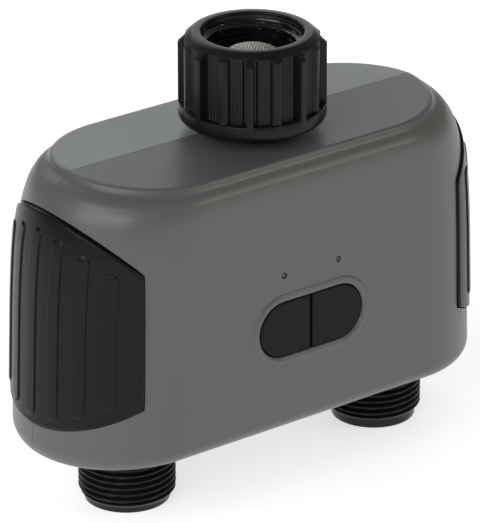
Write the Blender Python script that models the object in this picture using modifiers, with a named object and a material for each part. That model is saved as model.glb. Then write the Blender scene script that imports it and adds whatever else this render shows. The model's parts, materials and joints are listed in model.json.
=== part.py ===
"""Two-outlet drip irrigation timer, modelled as separate pieces.

Frame: +Z up, -Y is the front with the buttons, X runs along the body.
The origin lies on the plane where the two body shells meet, midway between the
ends, level with the rims of the outlets. Sizes below are in millimetres and
go through mm() on their way into Blender's metres.
"""
import math

import bmesh
import bpy
from mathutils import Matrix, Vector

# ---- driving dimensions, millimetres -------------------------------------------
GAP = 0.3                  # clearance between touching pieces
PLUMB_Y = -3.75            # inlet and outlets sit this far ahead of the parting plane
OUTLET_X = 42.7            # outlet axes, either side of the middle
CROWN = 0.05               # fall of the top per millimetre away from the parting plane
CROWN_START, CROWN_FULL = 80.0, 93.0

FRONT_Y = 29.75            # half depth of the body
PROUD = 0.5                # button rim and battery cover stand this far out
BODY_Z = 18.0              # underside of the body
BODY_ROUND = 5.0           # height of the rounding along the underside
END_ROUND, SIDE_ROUND = 3.5, 7.0    # how far that rounding reaches in at the ends and sides
FOOT_FLARE = 0.3           # the body is this much longer just above that rounding
# (height, half length, half depth) of the body wall, shoulder, cove and plateau
WALL_LEVELS = [(30.0, 70.6, 29.75), (60.0, 69.5, 29.75), (75.0, 68.4, 29.75),
               (82.0, 67.2, 29.7), (87.0, 65.8, 29.6), (90.5, 64.3, 29.4)]
TOP_LEVELS = [(93.0, 62.6, 28.9), (94.2, 61.4, 28.2), (94.9, 60.3, 27.5),
              (95.4, 59.4, 26.9), (95.9, 58.7, 26.5), (96.6, 58.1, 26.2),
              (97.2, 57.6, 25.9), (97.45, 56.7, 25.2)]
CAVITY_LEVELS = [(20.4, 62.6, 22.8), (23.5, 66.6, 27.0), (30.0, 67.2, 27.35),
                 (60.0, 66.1, 27.35), (75.0, 65.0, 27.35), (82.0, 63.8, 27.35),
                 (90.2, 61.3, 27.35), (92.2, 58.5, 25.2), (94.2, 54.0, 21.0)]

GRIP_X = 53.5              # foot of a side grip's front edge
GRIP_LEAN = 0.85           # the head of that edge is this much nearer the middle
GRIP_FRONT_Z = (37.3, 75.0)     # the front edge, bottom and top
GRIP_TOP_SLOPE, GRIP_BOTTOM_SLOPE = 1.02, -0.51
GRIP_PROUD, GRIP_SUNK = 0.8, 1.0
GRIP_MARGIN = 0.35         # dark gap between a grip and the recess it sits in
GRIP_RIBS = 7
GRIP_RIB_STEP = math.radians(15.4)
GRIP_RIB_WIDTH, GRIP_RIB_HEIGHT = 3.6, 0.4
RIB_BELOW_TOP, RIB_ABOVE_BOTTOM = 3.6, 6.0
RIB_TOP_SLOPE, RIB_BOTTOM_SLOPE = 0.87, -0.72

NUT_Z = (100.0, 124.4)
NUT_R, NUT_WALL_R, NUT_TOP_R = 19.87, 18.4, 16.4
NUT_BORE_R, NUT_MOUTH_R, NUT_LIP_R = 13.0, 13.9, 11.6
NUT_FLANGE_Z, NUT_LIP_Z = 104.4, 103.4     # upper faces of its flange and inner lip
NUT_CHAMFER = 2.0
NUT_RIBS, NUT_RIB_TURN, NUT_RIB_HALF = 8, math.radians(5.8), 1.1
WASHER_Z = (106.6, 109.1)
FILTER_Z = 109.4           # underside of the filter's flange
# (radius, height) of the filter dome from its foot to its crown
FILTER_DOME = [(8.9, 110.3), (8.8, 114.0), (8.2, 116.7), (7.0, 118.1), (5.0, 119.3),
               (2.6, 120.2)]
FILTER_TOP, FILTER_SKIN = 120.3, 0.5
NECK_R, NECK_FLANGE_R, NECK_TOP_Z = 11.1, 12.4, 106.3
GALLERY_Z, GALLERY_R, GALLERY_BORE_R = 51.0, 8.0, 5.5
CHAMBER_R, CHAMBER_BORE_R = 15.6, 13.0

THREAD_R, THREAD_PITCH = 13.22, 1.814      # G3/4
THREAD_DEPTH = 1.1
THREAD_TURNS = 7
OUTLET_LIP_R, OUTLET_BORE_R, SEAT_R = 11.7, 9.0, 7.0
SEAT_Z = 60.0

BUTTON_Z, BUTTON_HALF, BUTTON_R = 49.1, 17.3, 7.9
BUTTON_FACE_Y, BUTTON_BACK_Y = -29.8, -26.5
BUTTON_SKIRT = 1.3         # flange behind the opening that keeps a button in
BUTTON_SPLIT = 0.8
RIM_WIDTH = 2.3
SWITCH_X = 8.6
LAMP_X, LAMP_Z, LAMP_R = 9.1, 64.7, 0.9
BOARD_Y = (-21.6, -20.0)

CELL_R, CELL_Z = 7.1, (32.9, 83.1)
CELL_Y, CELL_STEP = 17.2, 14.8
TRAY_X, TRAY_Y, TRAY_Z = 31.7, (8.0, 25.0), (30.1, 86.1)
COVER_X, COVER_Z = 34.5, (30.0, 86.2)
COVER_BACK_Y = 28.4        # inner face of the cover
HINGE_Y, HINGE_Z, HINGE_R = 28.55, 28.0, 1.3
HINGE_X, KNUCKLE_HALF, PIN_R, PIN_HOLE_R = 20.0, 4.0, 0.5, 0.85
SCREWS = [(48.0, 88.5), (62.0, 28.0)]      # case screws, mirrored to -X
SCREW_R, SCREW_HEAD_R, SINK_R, POST_R = 1.4, 2.2, 2.5, 3.0

ROUND = 24                 # sides of a large turned piece
SMALL = 12                 # sides of a small one


def mm(*values):
    """Millimetres to metres, as one number or a tuple."""
    scaled = tuple(v * 0.001 for v in values)
    return scaled[0] if len(scaled) == 1 else scaled


# ---- scene, collections and materials --------------------------------------------
for old in list(bpy.data.objects):
    bpy.data.objects.remove(old, do_unlink=True)


def new_collection(name):
    made = bpy.data.collections.new(name)
    bpy.context.scene.collection.children.link(made)
    return made


PARTS = new_collection("drip_irrigation_timer")
CUTTERS = new_collection("cutters")


def material(name, colour, roughness, metallic=0.0):
    made = bpy.data.materials.new(name)
    made.use_nodes = True
    shader = made.node_tree.nodes["Principled BSDF"]
    shader.inputs["Base Color"].default_value = (*colour, 1.0)
    shader.inputs["Roughness"].default_value = roughness
    shader.inputs["Metallic"].default_value = metallic
    return made


GREY_ABS = material("grey_abs", (0.130, 0.133, 0.130), 0.45)
BLACK_NYLON = material("black_nylon", (0.013, 0.013, 0.013), 0.42)
BLACK_GRIP = material("black_grip", (0.026, 0.025, 0.025), 0.45)
BLACK_SILICONE = material("black_silicone", (0.018, 0.018, 0.017), 0.60)
BLACK_RUBBER = material("black_rubber", (0.020, 0.020, 0.020), 0.80)
STEEL_MESH = material("steel_mesh", (0.55, 0.55, 0.53), 0.35, 1.0)
STEEL = material("steel", (0.60, 0.60, 0.60), 0.30, 1.0)
NATURAL_POM = material("natural_pom", (0.75, 0.75, 0.72), 0.40)
COPPER = material("copper_winding", (0.55, 0.22, 0.09), 0.40, 1.0)
BOARD_GREEN = material("board_green", (0.02, 0.14, 0.06), 0.40)
CLEAR_PMMA = material("clear_pmma", (0.70, 0.72, 0.72), 0.10)
CELL_SKIN = material("cell_skin", (0.05, 0.16, 0.32), 0.35)


# ---- modelling helpers -----------------------------------------------------------
def place(obj, mat, cutter=False):
    """Put an object in its collection, with its material or as a cutter."""
    for holder in list(obj.users_collection):
        holder.objects.unlink(obj)
    (CUTTERS if cutter else PARTS).objects.link(obj)
    if cutter:
        obj.hide_render = True
        obj.display_type = "WIRE"
    else:
        obj.data.materials.clear()
        obj.data.materials.append(mat)
    return obj


def mesh_object(name, bm, mat=None, cutter=False, smooth=None):
    bmesh.ops.recalc_face_normals(bm, faces=bm.faces)
    mesh = bpy.data.meshes.new(name)
    bm.to_mesh(mesh)
    bm.free()
    obj = bpy.data.objects.new(name, mesh)
    if smooth is not None:
        mesh.shade_smooth()
        mesh.set_sharp_from_angle(angle=math.radians(smooth))
    return place(obj, mat, cutter)


def box(name, low, high, mat=None, cutter=False, bevel=0.0):
    """An axis-aligned box between two corners, with its edges beveled."""
    bm = bmesh.new()
    bmesh.ops.create_cube(bm, size=1.0)
    size = Vector(mm(*[h - l for l, h in zip(low, high)]))
    middle = Vector(mm(*[(h + l) / 2 for l, h in zip(low, high)]))
    bmesh.ops.scale(bm, vec=size, verts=bm.verts)
    obj = mesh_object(name, bm, mat, cutter)
    obj.location = middle
    if bevel:
        edge = obj.modifiers.new("edges", "BEVEL")
        edge.width = mm(bevel)
        edge.segments = 2
    return obj


def rod(name, start, end, radius, mat=None, cutter=False, sides=SMALL):
    """A cylinder from one point to another."""
    a, b = Vector(mm(*start)), Vector(mm(*end))
    bm = bmesh.new()
    bmesh.ops.create_cone(bm, cap_ends=True, segments=sides, radius1=mm(radius),
                          radius2=mm(radius), depth=(b - a).length)
    obj = mesh_object(name, bm, mat, cutter, smooth=None if cutter else 40)
    obj.rotation_euler = (b - a).to_track_quat("Z", "Y").to_euler()
    obj.location = (a + b) / 2
    return obj


def turned(name, profile, x, y, mat=None, cutter=False, sides=ROUND, axis="Z"):
    """A profile of (radius, height) turned about Z, or about Y with axis="Y".

    A profile that starts on the axis is a solid and ends on it; any other is
    closed into a ring. It runs down its outer side, top to bottom.
    """
    ring = profile[0][0] > 0
    mesh = bpy.data.meshes.new(name)
    points = [mm(r, 0.0, z) for r, z in profile]
    count = len(points)
    edges = [(i, i + 1) for i in range(count - 1)]
    if ring:
        edges.append((count - 1, 0))
    mesh.from_pydata(points, edges, [])
    obj = bpy.data.objects.new(name, mesh)
    screw = obj.modifiers.new("turn", "SCREW")
    screw.steps = sides
    screw.render_steps = sides
    screw.use_merge_vertices = True
    screw.merge_threshold = 0.00001
    screw.use_smooth_shade = True
    obj.location = mm(x, y, 0.0)
    if axis == "Y":
        obj.rotation_euler = (math.radians(90), 0.0, 0.0)
    return place(obj, mat, cutter)


def plate(name, outline, low, high, axis, mat=None, cutter=False):
    """A flat outline given thickness along Z or Y.

    The outline holds (x, y) pairs for Z and (x, z) pairs for Y.
    """
    curve = bpy.data.curves.new(name, "CURVE")
    curve.dimensions = "2D"
    curve.fill_mode = "BOTH"
    curve.extrude = mm((high - low) / 2)
    spline = curve.splines.new("POLY")
    spline.points.add(len(outline) - 1)
    for point, (u, v) in zip(spline.points, outline):
        point.co = (*mm(u, v, 0.0), 1.0)
    spline.use_cyclic_u = True
    flat = bpy.data.objects.new(name + "_outline", curve)
    bpy.context.scene.collection.objects.link(flat)
    middle = mm((low + high) / 2)
    if axis == "Y":
        flat.rotation_euler = (math.radians(90), 0.0, 0.0)
        flat.location = (0.0, middle, 0.0)
    else:
        flat.location = (0.0, 0.0, middle)
    bpy.context.view_layer.update()
    seen = flat.evaluated_get(bpy.context.evaluated_depsgraph_get())
    mesh = bpy.data.meshes.new_from_object(seen)
    world = flat.matrix_world.copy()
    bpy.data.objects.remove(flat, do_unlink=True)
    bpy.data.curves.remove(curve)
    bm = bmesh.new()
    bm.from_mesh(mesh)
    bpy.data.meshes.remove(mesh)
    bmesh.ops.remove_doubles(bm, verts=bm.verts, dist=0.000001)
    obj = mesh_object(name, bm, mat, cutter)
    obj.matrix_world = world
    return obj


def boolean(obj, other, operation="DIFFERENCE"):
    step = obj.modifiers.new(operation.lower() + "_" + other.name, "BOOLEAN")
    step.operation = operation
    step.object = other
    step.solver = "EXACT"
    return obj


def arc(cx, cy, radius, start, end, steps):
    """Points of an arc, angles in degrees."""
    turn = [math.radians(start + (end - start) * i / steps) for i in range(steps + 1)]
    return [(cx + radius * math.cos(t), cy + radius * math.sin(t)) for t in turn]


def stadium(half_x, radius, centre_z):
    """A slot shape with round ends, as (x, z) pairs."""
    return rounded_rectangle(half_x, radius, radius - 0.01, centre_z, 10)


def rounded_rectangle(half_u, half_v, radius, centre_v=0.0, steps=5):
    u, v = half_u - radius, half_v - radius
    corners = [(u, v, 0), (-u, v, 90), (-u, -v, 180), (u, -v, 270)]
    outline = []
    for cu, cv, start in corners:
        outline += arc(cu, centre_v + cv, radius, start, start + 90, steps)
    return outline


# ---- the body's outer form ---------------------------------------------------------
def crown_drop(z, y):
    """How far the top falls at a distance y from the parting plane."""
    share = (z - CROWN_START) / (CROWN_FULL - CROWN_START)
    return CROWN * abs(y) * min(max(share, 0.0), 1.0)


def end_arc(a, b, end, steps):
    """Half a turn around one end: +Y to -Y at +X (end 1), and -Y to +Y at -X (end -1)."""
    turn = [math.pi / 2 - math.pi * i / steps for i in range(steps + 1)]
    return [(end * (a - b + b * math.cos(t)), end * b * math.sin(t)) for t in turn]


def body_levels(grow=0.0):
    """Levels of the outer form, optionally grown outward, from the bottom up."""
    first_z, first_a, first_b = WALL_LEVELS[0]
    levels = []
    for i in range(4):
        t = math.radians(30 * i)
        inset = 1 - math.sin(t)
        z = BODY_Z + BODY_ROUND * (1 - math.cos(t))
        levels.append((z, first_a + FOOT_FLARE - END_ROUND * inset,
                       first_b - 0.1 - SIDE_ROUND * inset))
    levels += WALL_LEVELS + TOP_LEVELS
    return [(z, a + grow, b + grow) for z, a, b in levels]


def loft(bm, rings, closed=True, split=False):
    """Skin rings of equal length, bottom to top, and cap both ends.

    split makes each cap of two flat faces that meet on the parting plane.
    """
    rows = [[bm.verts.new(mm(*p)) for p in ring] for ring in rings]
    count = len(rows[0])
    for low, high in zip(rows, rows[1:]):
        for i in range(count if closed else count - 1):
            j = (i + 1) % count
            bm.faces.new((low[i], low[j], high[j], high[i]))
    first = (count // 2 - 1) // 2
    last = first + count // 2
    for row in (rows[0], rows[-1]):
        if split:
            bm.faces.new(row[first:last + 1])
            bm.faces.new(row[last:] + row[:first + 1])
        else:
            bm.faces.new(row)
    if not closed:
        left = [row[-1] for row in rows]
        right = [row[0] for row in rows]
        bm.faces.new(right + list(reversed(left)))


def half_form(name, side, mat):
    """One half of the outer form, flat on the parting plane. side: -1 front, 1 back."""
    rings = []
    for z, a, b in body_levels():
        quarter = [(x, y) for x, y in end_arc(a, b, 1, 18) if y * side >= -1e-6]
        quarter = sorted(quarter, key=lambda p: -p[0])
        half = quarter + [(-x, y) for x, y in reversed(quarter)]
        ring = []
        for x, y in half:
            y = side * max(abs(y), GAP / 2)
            ring.append((x, y, z - crown_drop(z, y)))
        rings.append(ring)
    bm = bmesh.new()
    loft(bm, rings, closed=False)
    return mesh_object(name, bm, mat, smooth=35)


def full_form(name, levels, steps=18):
    """A whole closed form through the given levels, as a cutter."""
    rings = []
    for z, a, b in levels:
        outline = end_arc(a, b, 1, steps) + end_arc(a, b, -1, steps)
        rings.append([(x, y, z - crown_drop(z, y)) for x, y in outline])
    bm = bmesh.new()
    loft(bm, rings, split=True)
    return mesh_object(name, bm, cutter=True)


# ---- side grips ---------------------------------------------------------------------
def grip_outline(end, margin=0.0):
    """The grip seen from the front, as (x, z) pairs, grown by a margin."""
    low, high = GRIP_FRONT_Z
    far, foot = 80.0, GRIP_X - margin
    head = foot - GRIP_LEAN
    top, bottom = high + margin * 1.4, low - margin * 1.1
    points = [(foot, bottom), (far, bottom + GRIP_BOTTOM_SLOPE * (far - foot)),
              (far, top + GRIP_TOP_SLOPE * (far - head)), (head, top)]
    return [(end * x, z) for x, z in points]


def rib_outline(end):
    """Where the ribs end, seen from the front."""
    low, high = GRIP_FRONT_Z[0] + RIB_ABOVE_BOTTOM, GRIP_FRONT_Z[1] - RIB_BELOW_TOP
    far, near = 80.0, GRIP_X + 2.0
    points = [(near, low + RIB_BOTTOM_SLOPE * (near - GRIP_X)),
              (far, low + RIB_BOTTOM_SLOPE * (far - GRIP_X)),
              (far, high + RIB_TOP_SLOPE * (far - GRIP_X)),
              (near, high + RIB_TOP_SLOPE * (near - GRIP_X))]
    return [(end * x, z) for x, z in points]


def ribbed_form(name):
    """The outer form with the grips' upright ribs standing out of it."""
    rings = []
    half = GRIP_RIBS // 2
    for z, a, b in body_levels():
        if not 23.0 < z < 92.0:
            continue
        outline = []
        for end in (1, -1):
            for k in range(half, -half - 1, -1):
                middle = k * GRIP_RIB_STEP
                reach = GRIP_RIB_WIDTH / 2 / b
                low = -0.5 * GRIP_SUNK
                tall = GRIP_PROUD + GRIP_RIB_HEIGHT
                for turn, out in ((reach * 1.25, low), (reach * 0.85, tall),
                                  (0.0, tall), (-reach * 0.85, tall),
                                  (-reach * 1.25, low)):
                    t = middle + turn
                    outline.append((end * (a - b + (b + out) * math.cos(t)),
                                    end * (b + out) * math.sin(t)))
        rings.append([(x, y, z) for x, y in outline])
    bm = bmesh.new()
    loft(bm, rings)
    return mesh_object(name, bm, cutter=True)


def grip(name, end):
    """A ribbed cover around one end, 1 mm proud of the shells and let into them."""
    levels = [lv for lv in body_levels(GRIP_PROUD) if 23.0 < lv[0] < 95.0]
    rings = []
    for z, a, b in levels:
        outline = end_arc(a, b, 1, 24)
        rings.append([(end * x, y, z - crown_drop(z, y)) for x, y in outline])
    bm = bmesh.new()
    loft(bm, rings)
    piece = mesh_object(name, bm, BLACK_GRIP, smooth=35)
    boolean(piece, GRIP_INNER)
    boolean(piece, GRIP_WINDOW[end], "INTERSECT")
    ribs = ribbed_form(name + "_ribs")
    window = plate(name + "_rib_window", rib_outline(end), -35.0, 35.0, "Y", cutter=True)
    boolean(ribs, RIB_INNER)
    boolean(ribs, window, "INTERSECT")
    boolean(piece, ribs, "UNION")
    return piece


# ---- body shells ----------------------------------------------------------------------
def cavity():
    """The hollow inside both shells, with the screw posts left standing."""
    hollow = full_form("cavity", CAVITY_LEVELS)
    for end in (1, -1):
        for x, z in SCREWS:
            post = rod(f"post_{end}_{int(x)}", (end * x, -40, z), (end * x, 40, z), POST_R,
                       cutter=True)
            boolean(hollow, post)
    return hollow


def shells():
    """Front and back halves of the body, hollow, with every hole they need."""
    front = half_form("front_shell", -1, GREY_ABS)
    back = half_form("back_shell", 1, GREY_ABS)
    rim = plate("button_rim", stadium(BUTTON_HALF + RIM_WIDTH, BUTTON_R + RIM_WIDTH, BUTTON_Z),
                -FRONT_Y - PROUD, -FRONT_Y + 1.0, "Y", cutter=True)
    boolean(front, rim, "UNION")
    hollow = cavity()
    neck = rod("neck_hole", (0, PLUMB_Y, 85), (0, PLUMB_Y, 105), 11.5, cutter=True,
               sides=ROUND)
    for shell in (front, back):
        boolean(shell, hollow)
        boolean(shell, neck)
    for end in (1, -1):
        hole = rod(f"outlet_hole_{end}", (end * OUTLET_X, PLUMB_Y, 10),
                   (end * OUTLET_X, PLUMB_Y, 24), THREAD_R + 0.5, cutter=True, sides=ROUND)
        recess = full_form(f"grip_recess_{end}", body_levels(3.0))
        boolean(recess, RECESS_INNER)
        margin = plate(f"grip_margin_{end}", grip_outline(end, GRIP_MARGIN), -40.0, 40.0,
                       "Y", cutter=True)
        boolean(recess, margin, "INTERSECT")
        for shell in (front, back):
            boolean(shell, hole)
            boolean(shell, recess)
        for x, z in SCREWS:
            pilot = rod(f"pilot_{end}_{int(x)}", (end * x, -16, z), (end * x, 40, z),
                        SCREW_R + GAP, cutter=True)
            sink = rod(f"sink_{end}_{int(x)}", (end * x, 8, z), (end * x, 40, z), SINK_R,
                       cutter=True)
            boolean(front, pilot)
            boolean(back, pilot)
            boolean(back, sink)
        lamp = rod(f"lamp_hole_{end}", (end * LAMP_X, -33, LAMP_Z),
                   (end * LAMP_X, -25, LAMP_Z), LAMP_R, cutter=True)
        boolean(front, lamp)
    opening = plate("button_opening", stadium(BUTTON_HALF, BUTTON_R, BUTTON_Z), -33.0, -25.0,
                    "Y", cutter=True)
    boolean(front, opening)
    low, high = COVER_Z[0] - 0.7, COVER_Z[1] + GAP
    doorway = plate("doorway", rounded_rectangle(COVER_X + GAP, (high - low) / 2, 3.3,
                                                 (high + low) / 2), 20.0, 33.0, "Y",
                    cutter=True)
    boolean(back, doorway)
    for end in (1, -1):
        reach = KNUCKLE_HALF + 0.4
        notch = box(f"hinge_notch_{end}", (end * HINGE_X - reach, 25.0, HINGE_Z - 1.8),
                    (end * HINGE_X + reach, 33.0, HINGE_Z + 8.0), cutter=True)
        pin = rod(f"pin_hole_{end}", (end * HINGE_X - reach - 2, HINGE_Y, HINGE_Z),
                  (end * HINGE_X + reach + 2, HINGE_Y, HINGE_Z), PIN_HOLE_R, cutter=True,
                  sides=8)
        boolean(back, notch)
        boolean(back, pin)
    return front, back


# ---- inlet ------------------------------------------------------------------------------
def inlet():
    """Swivel nut with its washer and domed filter."""
    low, high = NUT_Z
    profile = [(NUT_TOP_R, high), (NUT_WALL_R, high - NUT_CHAMFER), (NUT_WALL_R, NUT_FLANGE_Z + 0.2),
               (NUT_R, NUT_FLANGE_Z), (NUT_R, low + 1.2), (NUT_R - 1.2, low),
               (NUT_LIP_R, low), (NUT_LIP_R, NUT_LIP_Z), (NUT_BORE_R, NUT_LIP_Z + GAP),
               (NUT_BORE_R, high - 1.2), (NUT_MOUTH_R, high)]
    nut = turned("inlet_nut", profile, 0.0, PLUMB_Y, BLACK_NYLON, sides=40)
    for k in range(NUT_RIBS):
        t = NUT_RIB_TURN + 2 * math.pi * k / NUT_RIBS
        rib = box(f"nut_rib_{k}", (NUT_BORE_R + 2.0, -NUT_RIB_HALF, low + 1.5),
                  (NUT_R - 0.02, NUT_RIB_HALF, high - 3.4), cutter=True)
        rib.matrix_world = (Matrix.Translation(mm(0, PLUMB_Y, 0)) @ Matrix.Rotation(t, 4, "Z")
                            @ Matrix.Translation(rib.location))
        boolean(nut, rib, "UNION")
    turned("inlet_washer", [(12.3, WASHER_Z[1]), (12.3, WASHER_Z[0]), (8.3, WASHER_Z[0]),
                            (8.3, WASHER_Z[1])], 0.0, PLUMB_Y, BLACK_RUBBER)
    foot = FILTER_DOME[0][1]
    under = [(r - FILTER_SKIN, z - FILTER_SKIN) for r, z in FILTER_DOME[1:]]
    profile = ([(0.0, FILTER_TOP)] + FILTER_DOME[::-1] + [(12.2, foot), (12.2, FILTER_Z),
               (FILTER_DOME[0][0] - FILTER_SKIN, FILTER_Z)] + under
               + [(0.0, FILTER_TOP - FILTER_SKIN)])
    turned("inlet_filter", profile, 0.0, PLUMB_Y, STEEL_MESH, sides=24)


# ---- water path ----------------------------------------------------------------------------
def manifold():
    """Inlet neck, cross gallery and the two valve chambers in one moulding."""
    neck = [(NECK_FLANGE_R, NECK_TOP_Z), (NECK_FLANGE_R, 103.8), (NECK_R, 103.8), (NECK_R, 90.8),
            (15.0, 90.8), (15.0, 88.0), (NECK_R, 88.0), (NECK_R, 44.0), (GALLERY_R, 42.0)]
    body = turned("manifold", [(0.0, NECK_TOP_Z)] + neck + [(0.0, 42.0)], 0.0, PLUMB_Y,
                  BLACK_NYLON)
    along = [(-OUTLET_X, PLUMB_Y, GALLERY_Z), (OUTLET_X, PLUMB_Y, GALLERY_Z)]
    boolean(body, rod("gallery", *along, GALLERY_R, cutter=True), "UNION")
    for end in (1, -1):
        cup = rod(f"cup_{end}", (end * OUTLET_X, PLUMB_Y, 41), (end * OUTLET_X, PLUMB_Y, SEAT_Z),
                  CHAMBER_R, cutter=True, sides=ROUND)
        boolean(body, cup, "UNION")
    bore = rod("neck_bore", (0, PLUMB_Y, GALLERY_Z), (0, PLUMB_Y, 110), 8.0, cutter=True,
               sides=ROUND)
    boolean(body, bore)
    boolean(body, rod("gallery_bore", *along, GALLERY_BORE_R, cutter=True))
    for end in (1, -1):
        chamber = rod(f"chamber_{end}", (end * OUTLET_X, PLUMB_Y, 44),
                      (end * OUTLET_X, PLUMB_Y, 65), CHAMBER_BORE_R, cutter=True, sides=ROUND)
        floor = rod(f"floor_hole_{end}", (end * OUTLET_X, PLUMB_Y, 38),
                    (end * OUTLET_X, PLUMB_Y, 46), 9.5, cutter=True, sides=ROUND)
        boolean(body, chamber)
        boolean(body, floor)
    turned("neck_seal", [(14.5, 92.5), (14.5, 91.1), (11.4, 91.1), (11.4, 92.5)],
           0.0, PLUMB_Y, BLACK_RUBBER)


def outlet_profile():
    """Threaded spigot, from the valve seat down to the rim."""
    profile = [(8.6, SEAT_Z - GAP), (9.1, SEAT_Z - 1.2), (9.1, 38.6), (13.0, 38.6), (13.0, 36.0),
               (11.0, 36.0), (11.0, 23.2), (17.0, 23.2), (17.0, 20.75),
               (THREAD_R, 20.75)]
    crest = 2.6 + THREAD_PITCH * (THREAD_TURNS - 0.5)
    profile.append((THREAD_R, crest + 1.5))
    for k in range(THREAD_TURNS):
        z = crest - k * THREAD_PITCH
        profile += [(THREAD_R - THREAD_DEPTH, z + THREAD_PITCH / 2), (THREAD_R, z)]
    profile += [(OUTLET_LIP_R, 2.2), (OUTLET_LIP_R, 0.0), (OUTLET_BORE_R, 0.0),
                (OUTLET_BORE_R, 34.0), (SEAT_R, 38.0), (SEAT_R, SEAT_Z - GAP)]
    return profile


def valve(side, end):
    """Everything on one outlet's axis."""
    x = end * OUTLET_X
    turned(f"outlet_{side}", outlet_profile(), x, PLUMB_Y, BLACK_NYLON)
    turned(f"outlet_seal_{side}", [(13.0, 40.7), (13.0, 38.9), (9.5, 38.9), (9.5, 40.7)],
           x, PLUMB_Y, BLACK_RUBBER)
    rod(f"diaphragm_{side}", (x, PLUMB_Y, SEAT_Z + GAP), (x, PLUMB_Y, SEAT_Z + 2.0), 15.4,
        BLACK_RUBBER, sides=ROUND)
    turned(f"bonnet_{side}", [(0.0, 84.7), (5.6, 84.7), (5.6, 66.5), (15.4, 66.5), (15.4, 62.3),
                              (4.4, 62.3), (4.4, 83.6), (0.0, 83.6)],
           x, PLUMB_Y, NATURAL_POM)
    rod(f"plunger_{side}", (x, PLUMB_Y, 62.6), (x, PLUMB_Y, 77.4), 4.0, STEEL)
    spring(f"plunger_spring_{side}", x, PLUMB_Y, 78.2, 83.0)
    turned(f"coil_{side}", [(12.3, 82.6), (12.3, 68.5), (6.0, 68.5), (6.0, 82.6)],
           x, PLUMB_Y, COPPER)
    frame = box(f"solenoid_frame_{side}", (x - 14.4, PLUMB_Y - 8, 66.8),
                (x + 14.4, PLUMB_Y + 8, 84.3), STEEL)
    window = box(f"frame_window_{side}", (x - 12.8, PLUMB_Y - 12, 68.2),
                 (x + 12.8, PLUMB_Y + 12, 82.9), cutter=True)
    tube = rod(f"frame_hole_{side}", (x, PLUMB_Y, 60), (x, PLUMB_Y, 90), 5.95, cutter=True)
    boolean(frame, window)
    boolean(frame, tube)


def spring(name, x, y, low, high, radius=3.2, wire=0.35, turns=4, per_turn=8):
    """A compression spring standing between two heights."""
    curve = bpy.data.curves.new(name, "CURVE")
    curve.dimensions = "3D"
    curve.bevel_depth = mm(wire)
    curve.bevel_resolution = 0
    curve.use_fill_caps = True
    spline = curve.splines.new("POLY")
    count = turns * per_turn + 1
    spline.points.add(count - 1)
    for i, point in enumerate(spline.points):
        t = 2 * math.pi * i / per_turn
        z = low + (high - low) * i / (count - 1)
        point.co = (*mm(radius * math.cos(t), radius * math.sin(t), z), 1.0)
    obj = bpy.data.objects.new(name, curve)
    obj.location = mm(x, y, 0.0)
    return place(obj, STEEL)


# ---- buttons and electronics ---------------------------------------------------------------
def button(side, end):
    """A half-stadium button that slides inward, with its stem and its switch."""
    piece = plate(f"button_{side}", stadium(BUTTON_HALF - GAP, BUTTON_R - GAP, BUTTON_Z),
                  BUTTON_FACE_Y, BUTTON_BACK_Y, "Y", BLACK_SILICONE)
    skirt = plate(f"button_skirt_{side}",
                  stadium(BUTTON_HALF + BUTTON_SKIRT, BUTTON_R + BUTTON_SKIRT, BUTTON_Z),
                  BUTTON_BACK_Y - 0.5, BUTTON_BACK_Y + GAP, "Y", cutter=True)
    boolean(piece, skirt, "UNION")
    x = end * SWITCH_X
    stem = rod(f"button_stem_{side}", (x, BUTTON_BACK_Y - 0.1, BUTTON_Z), (x, -22.9, BUTTON_Z),
               1.5, cutter=True)
    boolean(piece, stem, "UNION")
    split = end * BUTTON_SPLIT / 2
    far = box(f"button_far_half_{side}", (min(-end * 30, split), -35, BUTTON_Z - 20),
              (max(-end * 30, split), -15, BUTTON_Z + 20), cutter=True)
    boolean(piece, far)
    switch = box(f"switch_{side}", (x - 3, -23.6, BUTTON_Z - 3),
                 (x + 3, BOARD_Y[0] - GAP, BUTTON_Z + 3), BLACK_NYLON)
    well = rod(f"switch_well_{side}", (x, -30, BUTTON_Z), (x, -18, BUTTON_Z), 2.0, cutter=True)
    boolean(switch, well)
    pipe = turned(f"light_pipe_{side}",
                  [(0.0, 29.5), (0.6, 29.5), (0.6, 27.0), (1.8, 27.0), (1.8, 22.0), (0.0, 22.0)],
                  end * LAMP_X, 0.0, CLEAR_PMMA, sides=SMALL, axis="Y")
    pipe.location[2] = mm(LAMP_Z)
    return well


def electronics():
    wells = [button("left", -1), button("right", 1)]
    gasket = plate("button_gasket", rounded_rectangle(20.6, 11.0, 10.9, BUTTON_Z, 8),
                   -25.1, -24.3, "Y", BLACK_RUBBER)
    for well in wells:
        boolean(gasket, well)
    plate("circuit_board", rounded_rectangle(33.0, 23.0, 2.0, 60.0, 3), *BOARD_Y, "Y",
          BOARD_GREEN)
    box("radio_module", (-8, -19.7, 66), (8, -17.4, 80), STEEL)


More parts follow.
